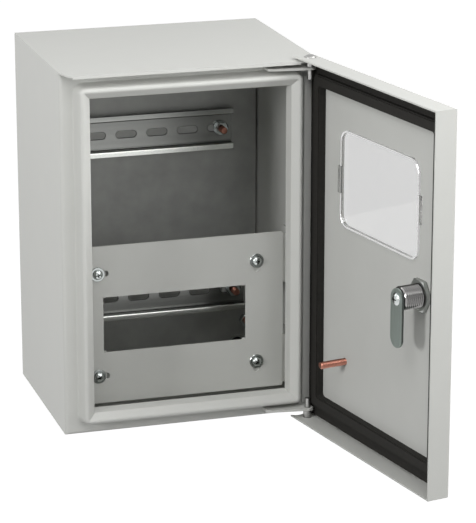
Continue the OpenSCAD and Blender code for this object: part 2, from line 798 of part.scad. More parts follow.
module lock_plug() {
    color(bright) on_door() in_door(lock_s, 0, lock_z) difference() {
        union() {
            translate([0, 0, 0.5 - lock_head_t]) cylinder(r = plug_r, h = lock_head_t - 0.5 + cam_front - 0.4);
            translate([-tail_w / 2, -tail_w / 2, cam_front - 0.5]) cube([tail_w, tail_w, cam_t + 0.4]);
        }
        translate([-1, -3.5, -cut]) cube([2, 7, cut + 6]);
        translate([0, 0, cam_front - 6]) cylinder(r = screw_r + run_gap, h = cut);
    }
}

module lock_cam() {
    fit = 0.1;
    color(zinc) on_door() in_door(lock_s, cam_front, lock_z) difference() {
        union() {
            cylinder(d = cam_w, h = cam_t);
            translate([-cam_w / 2, 0, 0]) cube([cam_w, cam_l - cam_w / 2, cam_t]);
            translate([0, cam_l - cam_w / 2, 0]) cylinder(d = cam_w, h = cam_t);
        }
        translate([-tail_w / 2 - fit, -tail_w / 2 - fit, -1]) cube([tail_w + 2 * fit, tail_w + 2 * fit, cam_t + 2]);
    }
}

module cam_screw() {
    color(bright) on_door() in_door(lock_s, cam_front + cam_t, lock_z) rotate([90, 0, 0]) mirror([0, 1, 0])
        cross_screw(screw_r, 7, 5.2, 2.4);
}

body_shell();
roof_plate();
back_wall();
mounting_plate();
plate_studs();
plate_nuts();
upper_din_rail();
lower_din_rail();
rail_feet();
rail_studs();
rail_washers();
rail_nuts();
false_panel();
panel_brackets_left();
panel_brackets_right();
panel_screws();
panel_washers();
hinge_bracket_top();
hinge_bracket_bottom();
body_earth_stud();
body_earth_nut();
cable_grommets();
door_pan();
door_gasket();
window_pane();
hinge_pin_top();
hinge_pin_bottom();
hinge_bushes();
lock_barrel();
lock_nut();
door_earth_stud();
lock_plug();
lock_cam();
cam_screw();
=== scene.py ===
# %% [markdown]
# # A steel wall enclosure, dressed for its portrait
# The real object is a small wall box of folded sheet steel with its door swung open. Its sheet
# parts, hinges, nuts and brackets come as finished solids that stay where they are. This lesson
# gives them their finishes: powder coat, zinc, chrome, copper, rubber and clear plastic. Pieces that
# a solid modeller leaves plain are built here as meshes: screw threads, the lock's head, rolled and
# punched rails, cross-slotted screws and the rubber plugs of the wall holes.

# %% Load the fixed frame
import json
import math
import random

import bmesh
import bpy
from mathutils import Matrix, Vector


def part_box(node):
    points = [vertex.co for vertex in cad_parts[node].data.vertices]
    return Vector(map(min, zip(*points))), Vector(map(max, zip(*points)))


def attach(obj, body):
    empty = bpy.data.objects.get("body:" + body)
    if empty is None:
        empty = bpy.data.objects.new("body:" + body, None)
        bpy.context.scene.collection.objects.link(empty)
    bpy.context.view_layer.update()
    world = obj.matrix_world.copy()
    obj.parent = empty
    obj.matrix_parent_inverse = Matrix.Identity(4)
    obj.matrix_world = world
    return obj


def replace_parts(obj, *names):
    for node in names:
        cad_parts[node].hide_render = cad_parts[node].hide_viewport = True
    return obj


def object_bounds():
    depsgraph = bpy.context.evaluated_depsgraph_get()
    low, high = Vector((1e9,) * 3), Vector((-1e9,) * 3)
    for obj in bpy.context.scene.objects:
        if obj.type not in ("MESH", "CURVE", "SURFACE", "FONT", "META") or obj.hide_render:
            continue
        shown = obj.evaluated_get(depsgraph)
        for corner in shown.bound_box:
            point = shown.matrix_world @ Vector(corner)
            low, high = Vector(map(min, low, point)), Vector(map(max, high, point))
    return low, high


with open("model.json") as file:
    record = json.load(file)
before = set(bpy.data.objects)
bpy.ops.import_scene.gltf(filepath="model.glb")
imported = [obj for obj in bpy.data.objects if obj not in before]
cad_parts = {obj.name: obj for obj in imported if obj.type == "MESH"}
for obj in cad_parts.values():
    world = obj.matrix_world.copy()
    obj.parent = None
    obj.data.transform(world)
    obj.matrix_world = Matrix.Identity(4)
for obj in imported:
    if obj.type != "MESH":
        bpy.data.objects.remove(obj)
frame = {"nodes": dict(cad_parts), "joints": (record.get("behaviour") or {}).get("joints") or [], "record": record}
nodes = frame["nodes"]
cad_low, cad_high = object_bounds()
random.seed(7)
MM = 0.001
print("CAD box", [round(v, 4) for v in cad_low], [round(v, 4) for v in cad_high])

# %% [markdown]
# ## Make room for the finishes
# The solids arrive wearing plain stand-in materials that already own the names of the record's
# slots. Blender would add a number to any new material of the same name. Renaming the stand-ins
# first keeps the good names free for the finishes below.

# %% Set the stand-in materials aside
for packed in bpy.data.materials:
    packed.name = packed.name + "_packed"
print("stand-in materials set aside", len(bpy.data.materials))

# %% [markdown]
# ## Where the door stands
# The door is modelled open, so its own directions are turned about the hinge. The hinge axis comes
# from the joint in the record. The way into the door comes from the lock's joint, which points
# straight through the door sheet. With these two, any piece can be placed on the door by plain
# measures: along the width, through the thickness, and up.

# %% Directions of the open door
joints = {j["name"]: j for j in frame["joints"]}
hinge_at = Vector(joints["door_swing"]["pos_m"])
lock_at = Vector(joints["lock_turn"]["pos_m"])
door_in = Vector(joints["lock_turn"]["axis"]).normalized()
up = Vector((0, 0, 1))
door_along = up.cross(door_in)
door_turn = Matrix((door_along, up, door_in)).transposed().to_4x4()
print("door faces", [round(v, 3) for v in door_in])


# %% [markdown]
# ## Finishes made of noise
# No sprayed or plated sheet is one flat colour. A soft noise can drift the colour and the gloss
# a little, which is enough to take the plastic look off a large surface. The ramp below turns that
# noise into shades just darker and just lighter than the finish. Small helpers like these are worth
# writing once, because a dozen finishes are built from them.

# %% Cloudy shades of one colour
CLOUD_EDGES = (0.3, 0.7)


def noise(tree, vector, size, detail):
    cloud = tree.nodes.new("ShaderNodeTexNoise")
    cloud.inputs["Scale"].default_value = size
    cloud.inputs["Detail"].default_value = detail
    tree.links.new(vector, cloud.inputs["Vector"])
    return cloud.outputs["Fac"]


def cloudy_colour(tree, cloud, colour, mottle):
    shades = tree.nodes.new("ShaderNodeValToRGB")
    darker, lighter = shades.color_ramp.elements
    darker.position, lighter.position = CLOUD_EDGES
    darker.color = (*[c * (1 - mottle) for c in colour], 1)
    lighter.color = (*[min(1, c * (1 + mottle)) for c in colour], 1)
    tree.links.new(cloud, shades.inputs["Fac"])
    return shades.outputs["Color"]


# %% Stretch one range of numbers onto another
def map_range(tree, value, from_min=0.0, from_max=1.0, to_min=0.0, to_max=1.0):
    ranged = tree.nodes.new("ShaderNodeMapRange")
    ranged.inputs["From Min"].default_value = from_min
    ranged.inputs["From Max"].default_value = from_max
    ranged.inputs["To Min"].default_value = to_min
    ranged.inputs["To Max"].default_value = to_max
    tree.links.new(value, ranged.inputs["Value"])
    return ranged.outputs["Result"]


def scaled_colour(tree, tint, amount):
    scaled = tree.nodes.new("ShaderNodeVectorMath")
    scaled.operation = "SCALE"
    tree.links.new(tint, scaled.inputs[0])
    tree.links.new(amount, scaled.inputs["Scale"])
    return scaled.outputs["Vector"]


# %% [markdown]
# ## Painted highlight and painted shade
# Two things change with the shape of a piece. The lips of a rail get a painted highlight: their colour is
# made brighter, the lower lip most of all, to stand in for the light they reflect. A dot product measures
# how far a point lies out towards the lips, with a little of its depth below the middle mixed in.
# Tight corners go the other way and get painted shade. The ambient occlusion node finds them, and
# the colour is darkened where little of the surroundings can be seen.

# %% Painted highlight on the lips and painted shade in corners
TOWARDS_LOWER_LIP = (0, 1, 0.1)
SHADE_FULL_AT = 0.35
SHADE_DARKEST = 0.10
SHADE_SAMPLES = 8


# Painted highlight: the colour is made brighter towards the rail's lips, up to the given gain.
def painted_lip_highlight(tree, point, tint, lip_highlight):
    start, end, gain = lip_highlight
    reach = tree.nodes.new("ShaderNodeVectorMath")
    reach.operation = "DOT_PRODUCT"
    reach.inputs[1].default_value = TOWARDS_LOWER_LIP
    tree.links.new(point, reach.inputs[0])
    return scaled_colour(tree, tint, map_range(tree, reach.outputs["Value"], start, end, 1.0, gain))


# Painted shade: the colour is darkened in corners that ambient occlusion finds within the given distance.
def paint_corner_shade(tree, tint, shade_reach, unshaded_above):
    nearby = tree.nodes.new("ShaderNodeAmbientOcclusion")
    nearby.inputs["Distance"].default_value = shade_reach
    nearby.samples = SHADE_SAMPLES
    shade_factor = map_range(tree, nearby.outputs["AO"], SHADE_FULL_AT, unshaded_above, SHADE_DARKEST, 1.0)
    return scaled_colour(tree, tint, shade_factor)


# %% [markdown]
# ## Grain, and the finish as a whole
# Baked powder flows into a fine orange peel and drawn metal keeps fine lines. Both are far too small
# to model, so a bump map tilts the light over them instead. The finish helper then puts everything
# on one shader: colour, gloss and grain follow the noise, while metalness and shine are plain
# numbers on the shader's own sockets. Stretching the coordinates turns round clouds into lines.

# %% One helper for every opaque finish
GRAIN_STRENGTH = 0.5


def fine_grain(tree, vector, grain, grain_depth):
    bump = tree.nodes.new("ShaderNodeBump")
    bump.inputs["Strength"].default_value = GRAIN_STRENGTH
    bump.inputs["Distance"].default_value = grain_depth
    tree.links.new(noise(tree, vector, grain, 2), bump.inputs["Height"])
    return bump.outputs["Normal"]


def finish(name, colour, roughness, metallic=0.0, grain=0.0, grain_depth=0.0, mottle=0.02,
           mottle_size=35.0, stretch=(1, 1, 1), roughness_spread=0.05, shine=0.5, shade_reach=0.0,
           unshaded_above=0.9, lip_highlight=None):
    material = bpy.data.materials.new(name)
    material.use_nodes = True
    tree = material.node_tree
    shader = tree.nodes["Principled BSDF"]
    shader.inputs["Metallic"].default_value = metallic
    shader.inputs["Specular IOR Level"].default_value = shine
    point = tree.nodes.new("ShaderNodeTexCoord").outputs["Object"]
    stretched = tree.nodes.new("ShaderNodeMapping")
    stretched.inputs["Scale"].default_value = stretch
    tree.links.new(point, stretched.inputs["Vector"])
    vector = stretched.outputs["Vector"]

    cloud = noise(tree, vector, mottle_size, 4)
    tint = cloudy_colour(tree, cloud, colour, mottle)
    # Painted highlight on rail lips and painted shade in corners, for the finishes that ask for them.
    if lip_highlight:
        tint = painted_lip_highlight(tree, point, tint, lip_highlight)
    if shade_reach:
        tint = paint_corner_shade(tree, tint, shade_reach, unshaded_above)
    tree.links.new(tint, shader.inputs["Base Color"])
    smoothest = max(0.02, roughness - roughness_spread)
    roughest = min(1, roughness + roughness_spread)
    gloss = map_range(tree, cloud, to_min=smoothest, to_max=roughest)
    tree.links.new(gloss, shader.inputs["Roughness"])
    if grain:
        tree.links.new(fine_grain(tree, vector, grain, grain_depth), shader.inputs["Normal"])
    return material


# %% [markdown]
# ## Powder coat
# The body, roof, door, brackets and false panel are painted with the same light grey powder coat.
# It is half matt, with a shallow orange peel of about a millimetre. The brackets, panel and door are
# coated apart from the body, so each has a finish of its own that can be changed alone.

# %% Paints
PAINT = (0.60, 0.605, 0.578)
PEEL = {"grain": 900, "grain_depth": 0.00006, "mottle": 0.012, "shine": 0.35}
enclosure_paint = finish("enclosure_paint", PAINT, 0.5, **PEEL)
door_paint = finish("door_paint", PAINT, 0.5, **PEEL)
panel_paint = finish("panel_paint", PAINT, 0.52, **PEEL)
bracket_paint = finish("bracket_paint", PAINT, 0.5, **PEEL)
print("paint colour", PAINT)

# %% [markdown]
# ## Bare and plated metals
# Galvanised sheet is dull and slightly cloudy. Rails are drawn through rollers and keep faint
# lines along their length. The lock's cam is brushed downwards, so its lines run that way. Screws
# are bright zinc, studs are copper-plated, and the lock's barrel is chrome. Scanned textures of
# metal could be wrapped around them, but noise has no seams and stays sharp at any distance. The
# same helper serves all, because a metal differs from paint by its metallic value and roughness.

# %% Zinc and steel
# The rail finish gets a painted highlight on its lips. Every finish here with a corner distance gets painted shade
# in its corners.
zinc_plate = finish("zinc_plate", (0.335, 0.34, 0.325), 0.55, 0.45, 260, 0.00004, 0.10, 60,
                    roughness_spread=0.08)
rail_zinc = finish("rail_zinc", (0.22, 0.225, 0.215), 0.24, 1.0, 700, 0.00004, 0.10, 160, (0.03, 1, 1),
                   shade_reach=3 * MM, lip_highlight=(-5.4 * MM, -8.6 * MM, 3.2))
cam_zinc = finish("cam_zinc", (0.35, 0.40, 0.375), 0.34, 1.0, 600, 0.00003, 0.10, 260, (1, 1, 0.06))
bright_steel = finish("bright_steel", (0.50, 0.53, 0.52), 0.20, 1.0, 500, 0.00002, 0.05, 200,
                      shade_reach=1.2 * MM)
hinge_steel = finish("hinge_steel", (0.36, 0.36, 0.35), 0.34, 1.0, 500, 0.00002, 0.05, 200,
                     shade_reach=2 * MM)

# %% Copper and chrome
# Every finish here with a corner distance gets painted shade in its corners.
copper_plated = finish("copper_plated", (0.42, 0.19, 0.14), 0.30, 1.0, 500, 0.00002, 0.14, 400,
                       shade_reach=1.2 * MM)
lock_chrome = finish("lock_chrome", (0.30, 0.295, 0.29), 0.14, 1.0, 400, 0.00001, 0.04, 150,
                     roughness_spread=0.03, shade_reach=2.4 * MM, unshaded_above=1.0)
lock_nut_metal = finish("lock_nut_metal", (0.40, 0.415, 0.40), 0.30, 1.0, 400, 0.00002, 0.06, 150,
                        shade_reach=2 * MM)

# %% [markdown]
# ## Foam and rubber
# The door's gasket is a bead of black foam with open pores, so it takes a deeper grain and almost no
# shine. The grommets and plugs are smoother moulded rubber. Neither is ever pure black, or the
# light could not show their shape.

# %% Black gasket and rubber
gasket_foam = finish("gasket_foam", (0.016, 0.015, 0.013), 0.8, 0.0, 1500, 0.00025, 0.2, 300,
                     shine=0.25)
grommet_rubber = finish("grommet_rubber", (0.02, 0.02, 0.021), 0.6, 0.0, 900, 0.0001, 0.15, 200)

# %% [markdown]
# ## Clear plastic
# The window is a moulded polycarbonate pane. A transmitting shader with a low roughness bends light
# at its edges, so the rim and the snap tabs read as fine light and dark lines. A trace of noise in
# the roughness stands for the slight haze of moulded plastic.

# %% The clear window
clear_window = bpy.data.materials.new("clear_window")
clear_window.use_nodes = True
glass_tree = clear_window.node_tree
glass_shader = glass_tree.nodes["Principled BSDF"]
glass_shader.inputs["Base Color"].default_value = (0.73, 0.73, 0.728, 1)
glass_shader.inputs["Transmission Weight"].default_value = 1.0
glass_shader.inputs["IOR"].default_value = 1.45
glass_point = glass_tree.nodes.new("ShaderNodeTexCoord").outputs["Object"]
haze = map_range(glass_tree, noise(glass_tree, glass_point, 60, 2), to_min=0.02, to_max=0.06)
glass_tree.links.new(haze, glass_shader.inputs["Roughness"])

# %% [markdown]
# ## Dress the solids
# The record says which finish each solid wears. Finishes and slots share their names, so one short
# loop dresses all of them, and none can be forgotten.

# %% Give every CAD node its finish
all_finishes = (enclosure_paint, door_paint, panel_paint, bracket_paint, zinc_plate, rail_zinc, cam_zinc,
                bright_steel, hinge_steel, copper_plated, lock_chrome, lock_nut_metal, gasket_foam,
                grommet_rubber, clear_window)
finishes = {made.name: made for made in all_finishes}
for entry in frame["record"]["subparts"]:
    node_object = nodes[entry["node"]]
    node_object.data.materials.clear()
    node_object.data.materials.append(finishes[entry["material_slot"]])


# %% [markdown]
# ## From rings to a piece
# Most small pieces here are built from rings of points, joined by rows of quads. Turned pieces use
# round rings and cut-outs use rings of any outline. The last helper turns the mesh into an object:
# it sets it in place, gives it its finish, keeps edges over 40 degrees sharp, and lets it ride on
# the body that carries it.

# %% Rings, rows of quads, and a finished piece
SHARP_OVER = math.radians(40)


def round_ring(mesh, radius, height, spokes):
    turns = [2 * math.pi * i / spokes for i in range(spokes)]
    return [mesh.verts.new((radius * math.cos(a), radius * math.sin(a), height)) for a in turns]


def join_rings(mesh, low, high):
    for i in range(len(low)):
        j = (i + 1) % len(low)
        mesh.faces.new((low[i], low[j], high[j], high[i]))


def piece(name, mesh, place, material, body):
    data = bpy.data.meshes.new(name)
    mesh.to_mesh(data)
    mesh.free()
    made = bpy.data.objects.new(name, data)
    bpy.context.scene.collection.objects.link(made)
    made.matrix_world = place
    data.materials.append(material)
    data.shade_smooth()
    data.set_sharp_from_angle(angle=SHARP_OVER)
    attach(made, body)
    print(name, "has", len(data.polygons), "faces")
    return made


# %% [markdown]
# ## Threads
# A screw thread is a ridge that climbs as it goes round. On a grid of rings and spokes that is one
# formula: the radius falls away from the crest by an amount that depends on the height plus the
# share of a turn already made. The last bit of the rod tapers, as real threads do so that a nut
# can start on them. A bump map could not give the jagged outline that a thread has from the side.

# %% A threaded rod
LEAD_IN = 0.8 * MM
TIP_RADIUS = 0.82
TIP_BLEND = 0.35
STEPS_PER_TURN = 8


def threaded_rod(radius, length, pitch, depth, bore=0.0, spokes=36):
    mesh = bmesh.new()
    rings = max(2, int(length / pitch * STEPS_PER_TURN))
    grid = []
    for k in range(rings + 1):
        height = length * k / rings
        taper = min(1.0, (length - height) / LEAD_IN + TIP_BLEND)
        ring = []
        for i in range(spokes):
            phase = (height / pitch - i / spokes) % 1.0
            groove = 1 - abs(2 * phase - 1)
            r = (radius - depth * groove) * (TIP_RADIUS + (1 - TIP_RADIUS) * taper)
            angle = 2 * math.pi * i / spokes
            ring.append(mesh.verts.new((r * math.cos(angle), r * math.sin(angle), height)))
        grid.append(ring)
    for low, high in zip(grid, grid[1:]):
        join_rings(mesh, low, high)
    if bore:
        start = round_ring(mesh, bore, 0.0, spokes)
        end = round_ring(mesh, bore, length, spokes)
        join_rings(mesh, end, start)
        join_rings(mesh, grid[-1], end)
        join_rings(mesh, start, grid[0])
    else:
        mesh.faces.new(grid[-1])
        mesh.faces.new(grid[0][::-1])
    return mesh


# %% [markdown]
# ## The lock's barrel
# The barrel is a chrome-plated tube with a coarse thread for the big hexagonal nut. Both it and its
# outside head turn about the lock's axis, so their heights are measured along that axis from the
# outside of the door sheet. The solid barrel is still there for its size and for collisions, but
# hidden, and the threaded one stands for it.

# %% Build the threaded barrel
HEAD_OVERHANG = 2.0 * MM
PLUG_PLAY = 0.05 * MM
BARREL_PITCH = 1.8 * MM
BARREL_THREAD_DEPTH = 0.9 * MM


def reach_along(node, origin, axis):
    depths = [(v.co - origin).dot(axis) for v in nodes[node].data.vertices]
    return min(depths), max(depths)


skin_out = reach_along("door_pan", hinge_at, door_in)[0]
lock_on_skin = lock_at + door_in * (skin_out - (lock_at - hinge_at).dot(door_in))
barrel_start, barrel_end = reach_along("lock_barrel", lock_on_skin, door_in)
barrel_low, barrel_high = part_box("lock_barrel")
plug_low, plug_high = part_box("lock_plug")
head_radius = (barrel_high.z - barrel_low.z) / 2
barrel_bore = (plug_high.z - plug_low.z) / 2 + PLUG_PLAY
thread = threaded_rod(head_radius - HEAD_OVERHANG, barrel_end, BARREL_PITCH, BARREL_THREAD_DEPTH,
                      bore=barrel_bore, spokes=72)
barrel_place = Matrix.Translation(lock_on_skin) @ door_turn
lock_thread = piece("lock_thread", thread, barrel_place, lock_chrome, "door")
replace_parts(lock_thread, "lock_barrel")
print("barrel from", round(barrel_start, 4), "to", round(barrel_end, 4))

# %% [markdown]
# ## The lock's outside head
# A turned piece is an outline spun about an axis, which is how a lathe makes it. The outline is
# a short list of radius and height pairs. Here it is closed, because the head is a ring around
# the turning plug, and two small steps round off its outer edge.


# %% Turn the lock's head
def turned(profile, spokes=64, closed=True):
    mesh = bmesh.new()
    grid = [round_ring(mesh, r, z, spokes) for r, z in profile]
    for low, high in zip(grid, grid[1:] + (grid[:1] if closed else [])):
        join_rings(mesh, low, high)
    if not closed:
        mesh.faces.new(grid[0][::-1])
        mesh.faces.new(grid[-1])
    return mesh


head_outline = [(barrel_bore, barrel_start), (head_radius - 1.2 * MM, barrel_start),
                (head_radius - 0.3 * MM, barrel_start + 0.5 * MM), (head_radius, barrel_start + 1.2 * MM),
                (head_radius, 0), (barrel_bore, 0)]
piece("lock_head", turned(head_outline), barrel_place, lock_chrome, "door")

# %% [markdown]
# ## Studs
# Weld studs are thin copper-plated rods with a fine thread. One stands on the door for the earth
# lead and four carry the rails. The same threaded rod serves them all, set where each CAD stud is.
# A right-angle turn about X points the rod's own up direction at the front of the box.

# %% Thread the door's earth stud
STUD_RADIUS = 3.0 * MM
STUD_PITCH = 1.25 * MM
STUD_DEPTH = 0.65 * MM
mounts = {m["name"]: m for m in frame["record"]["mounts"]}
earth_at = Vector(mounts["door_earth"]["pos_m"])
earth_axis = Vector(mounts["door_earth"]["axis"]).normalized()
earth_start, earth_end = reach_along("door_earth_stud", earth_at, earth_axis)
earth_rod = threaded_rod(STUD_RADIUS, earth_end - earth_start, STUD_PITCH, STUD_DEPTH)
earth_place = Matrix.Translation(earth_at + earth_axis * earth_start) @ door_turn
earth_thread = piece("door_earth_thread", earth_rod, earth_place, copper_plated, "door")
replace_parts(earth_thread, "door_earth_stud")
print("earth stud is", round(earth_end - earth_start, 4), "long")

# %% Thread the rail studs
facing_front = Matrix.Rotation(math.pi / 2, 4, "X")
studs_low, studs_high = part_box("rail_studs")
upper_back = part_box("upper_din_rail")[1].y
lower_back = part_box("lower_din_rail")[1].y
stud_length = lower_back - studs_low.y
for row, base_y in (("upper", upper_back), ("lower", lower_back)):
    height = mounts[row + "_rail"]["pos_m"][2]
    for column, x in (("left", studs_low.x + STUD_RADIUS), ("right", studs_high.x - STUD_RADIUS)):
        rod = threaded_rod(STUD_RADIUS, stud_length, STUD_PITCH, STUD_DEPTH)
        stud_place = Matrix.Translation((x, base_y, height)) @ facing_front
        rail_stud = piece("rail_stud_" + row + "_" + column, rod, stud_place, copper_plated,
                          "enclosure")
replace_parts(rail_stud, "rail_studs")


# %% [markdown]
# ## Top-hat rails
# A mounting rail is steel strip rolled into a hat: a flat web, two short walls and two lips. The
# rolled bends are what catches the light, so the section is a line with properly round corners,
# given the strip's thickness on both sides, and then carried along the rail's length. Each corner
# is rounded with a short curve that starts and ends on the straight parts beside it.

# %% A strip bent along a path
def round_corners(points, radius, steps=6):
    path = [Vector(points[0])]
    for before, corner, after in zip(points, points[1:], points[2:]):
        corner = Vector(corner)
        start = corner + (Vector(before) - corner).normalized() * radius
        end = corner + (Vector(after) - corner).normalized() * radius
        for k in range(steps + 1):
            t = k / steps
            path.append(start * (1 - t) ** 2 + corner * 2 * t * (1 - t) + end * t * t)
    path.append(Vector(points[-1]))
    return path


def strip_outline(path, thickness):
    sides = []
    for k in range(len(path)):
        ahead = path[min(k + 1, len(path) - 1)] - path[max(k - 1, 0)]
        sides.append(Vector((-ahead.y, ahead.x)).normalized() * thickness / 2)
    left = [p + n for p, n in zip(path, sides)]
    right = [p - n for p, n in zip(path, sides)]
    return left + right[::-1]


# %% A solid through stacked outlines
def lofted(sections):
    mesh = bmesh.new()
    rings = [[mesh.verts.new(p) for p in ring] for ring in sections]
    for low, high in zip(rings, rings[1:]):
        join_rings(mesh, low, high)
    mesh.faces.new(rings[0][::-1])
    mesh.faces.new(rings[-1])
    bmesh.ops.recalc_face_normals(mesh, faces=mesh.faces)
    return mesh


def extruded_along_x(outline, x_start, x_end):
    return lofted([[(x, p.x, p.y) for p in outline] for x in (x_start, x_end)])


# %% [markdown]
# ## Punching with a Boolean
# A press punches the slots through the strip. Here a Boolean modifier does it: one cutter for each
# slot is taken away from the rail. The exact solver copes with faces that lie in one plane. The
# result is read back as a mesh and the helpers are deleted, so nothing stays behind in the scene.

# %% Cut tools out of a mesh
def hidden_helper(name, mesh):
    data = bpy.data.meshes.new(name)
    mesh.to_mesh(data)
    mesh.free()
    helper = bpy.data.objects.new(name, data)
    bpy.context.scene.collection.objects.link(helper)
    return helper


def cut_away(body_mesh, cutter_meshes):
    target = hidden_helper("work", body_mesh)
    cutters = [hidden_helper("tool", cutter_mesh) for cutter_mesh in cutter_meshes]
    for cutter in cutters:
        cut = target.modifiers.new("cut", "BOOLEAN")
        cut.operation = "DIFFERENCE"
        cut.solver = "EXACT"
        cut.object = cutter
    bpy.context.view_layer.update()
    finished = bmesh.new()
    finished.from_object(target, bpy.context.evaluated_depsgraph_get())
    for used in cutters + [target]:
        bpy.data.objects.remove(used)
    return finished


# %% [markdown]
# ## Slots
# A rail has a row of slots, so that screws can be set wherever the wall allows. A slot is two half
# circles joined by straight sides, so its outline is a circle whose two halves are pushed apart.
# The cutter grows a little wider at the rail's front face, which leaves the small bright bevel that
# a punch makes. The slots are counted from the right end of the rail.

# %% Outline of a slot
SLOT_HALF = 5.9 * MM
SLOT_RADIUS = 3.1 * MM
SLOT_POINTS = 24


def slot_ring(x, y, radius):
    ring = []
    for k in range(SLOT_POINTS):
        angle = 2 * math.pi * (k + 0.5) / SLOT_POINTS
        shift = SLOT_HALF if math.cos(angle) > 0 else -SLOT_HALF
        ring.append((x + shift + radius * math.cos(angle), y, radius * math.sin(angle)))
    return ring


# %% Roll and punch the two rails
RAIL_SHEET = 1.0 * MM
RAIL_BEND = 1.0 * MM
WEB_HALF = 13.0 * MM
SLOT_PITCH = 27 * MM
FIRST_SLOT = 12 * MM
PUNCH_BEVEL = 0.35 * MM
HAIR = 0.01 * MM


def din_rail(name, node):
    low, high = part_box(node)
    half = (high.z - low.z) / 2
    lip = low.y - high.y + RAIL_SHEET / 2
    web = -RAIL_SHEET / 2
    front = -RAIL_SHEET
    wide = SLOT_RADIUS + PUNCH_BEVEL
    hat = [(lip, half), (lip, WEB_HALF), (web, WEB_HALF),
           (web, -WEB_HALF), (lip, -WEB_HALF), (lip, -half)]
    rail = extruded_along_x(strip_outline(round_corners(hat, RAIL_BEND), RAIL_SHEET), low.x, high.x)
    slots = []
    x = high.x - FIRST_SLOT
    while x > low.x + FIRST_SLOT:
        slots.append(lofted([slot_ring(x, MM, SLOT_RADIUS), slot_ring(x, front + PUNCH_BEVEL, SLOT_RADIUS),
                             slot_ring(x, front - HAIR, wide), slot_ring(x, front - MM, wide)]))
        x -= SLOT_PITCH
    print(name, "gets", len(slots), "slots")
    rail_place = Matrix.Translation((0, high.y, (low.z + high.z) / 2))
    return piece(name, cut_away(rail, slots), rail_place, rail_zinc, "enclosure")


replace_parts(din_rail("upper_rail_rolled", "upper_din_rail"), "upper_din_rail")
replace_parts(din_rail("lower_rail_rolled", "lower_din_rail"), "lower_din_rail")

# %% [markdown]
# ## Panel screws
# Four pan-head screws with a cross recess hold the false panel, each over a flat washer with softly
# rounded rims. A pan head is a turned shape, so its outline is spun about the screw's axis. The
# pairs below run from the tip of the shank up to the top of the head, and the head's roundness
# is given as shares of its radius and rise.

# %% Outlines of a screw and its washer
HEAD_RADIUS = 4.0 * MM
SHANK_RADIUS = 2.0 * MM
WASHER_RADIUS = 6.0 * MM
screws_low, screws_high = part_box("panel_screws")
washers_low, washers_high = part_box("panel_washers")
washer_thick = washers_high.y - washers_low.y
washer_bore = SHANK_RADIUS + 0.1 * MM
head_rise = washers_low.y - screws_low.y
shank_length = screws_high.y - washers_low.y
head_shares = [(0.95, 0), (1, 0.12), (0.985, 0.38), (0.90, 0.66), (0.72, 0.86), (0.42, 0.97), (0.12, 1)]
pan_outline = [(SHANK_RADIUS * 0.7, -shank_length), (SHANK_RADIUS, 0.6 * MM - shank_length),
               (SHANK_RADIUS, -0.05 * MM)]
pan_outline += [(HEAD_RADIUS * out, head_rise * rise) for out, rise in head_shares]
washer_outline = [(washer_bore, 0), (WASHER_RADIUS - 0.2 * MM, 0), (WASHER_RADIUS, 0.2 * MM),
                  (WASHER_RADIUS, washer_thick - 0.3 * MM), (WASHER_RADIUS - 0.3 * MM, washer_thick),
                  (washer_bore, washer_thick)]
print("panel screws stand", round(head_rise / MM, 2), "mm proud of their washers")

# %% [markdown]
# ## The cross recess
# The recess is pressed by a tapered cross, narrow at the bottom and wide at the top. The cutter is
# therefore a cross-shaped outline lofted into a larger one. Each screw is turned by its own amount,
# as screws end up wherever they come tight. The turn is drawn from a seeded random number, so it
# comes out the same each time.


# %% Cut the crosses and set the screws
def cross_ring(reach, half_width, z):
    w = half_width
    arm = [(w, reach), (-w, reach), (-w, w), (-reach, w), (-reach, -w), (-w, -w),
           (-w, -reach), (w, -reach), (w, -w), (reach, -w), (reach, w), (w, w)]
    return [(x, y, z) for x, y in arm]


for column, x in (("left", screws_low.x + HEAD_RADIUS), ("right", screws_high.x - HEAD_RADIUS)):
    for row, z in (("lower", screws_low.z + HEAD_RADIUS), ("upper", screws_high.z - HEAD_RADIUS)):
        spot = "_" + row + "_" + column
        recess = lofted([cross_ring(0.9 * MM, 0.35 * MM, 0.6 * MM),
                         cross_ring(2.6 * MM, 0.6 * MM, head_rise + MM)])
        head = cut_away(turned(pan_outline, closed=False), [recess])
        tight = Matrix.Rotation(random.uniform(0, math.pi / 2), 4, "Z")
        screw_place = Matrix.Translation((x, washers_low.y, z)) @ facing_front @ tight
        panel_screw = piece("panel_screw" + spot, head, screw_place, bright_steel,
                            "enclosure")
        washer_place = Matrix.Translation((x, washers_high.y, z)) @ facing_front
        panel_washer = piece("panel_washer" + spot, turned(washer_outline), washer_place, bright_steel,
                             "enclosure")
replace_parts(panel_screw, "panel_screws")
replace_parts(panel_washer, "panel_washers")

# %% [markdown]
# ## Plugs for the wall holes
# A sealed box keeps small rubber plugs in its wall holes until it is hung. A plug is a turned shape:
# a neck that fills the hole and a wider, softly rounded head on the inside, so the lathe helper of
# the lock's head makes it too. The holes in the solid wall stay open, and the plugs take their
# places from the pattern of those holes.

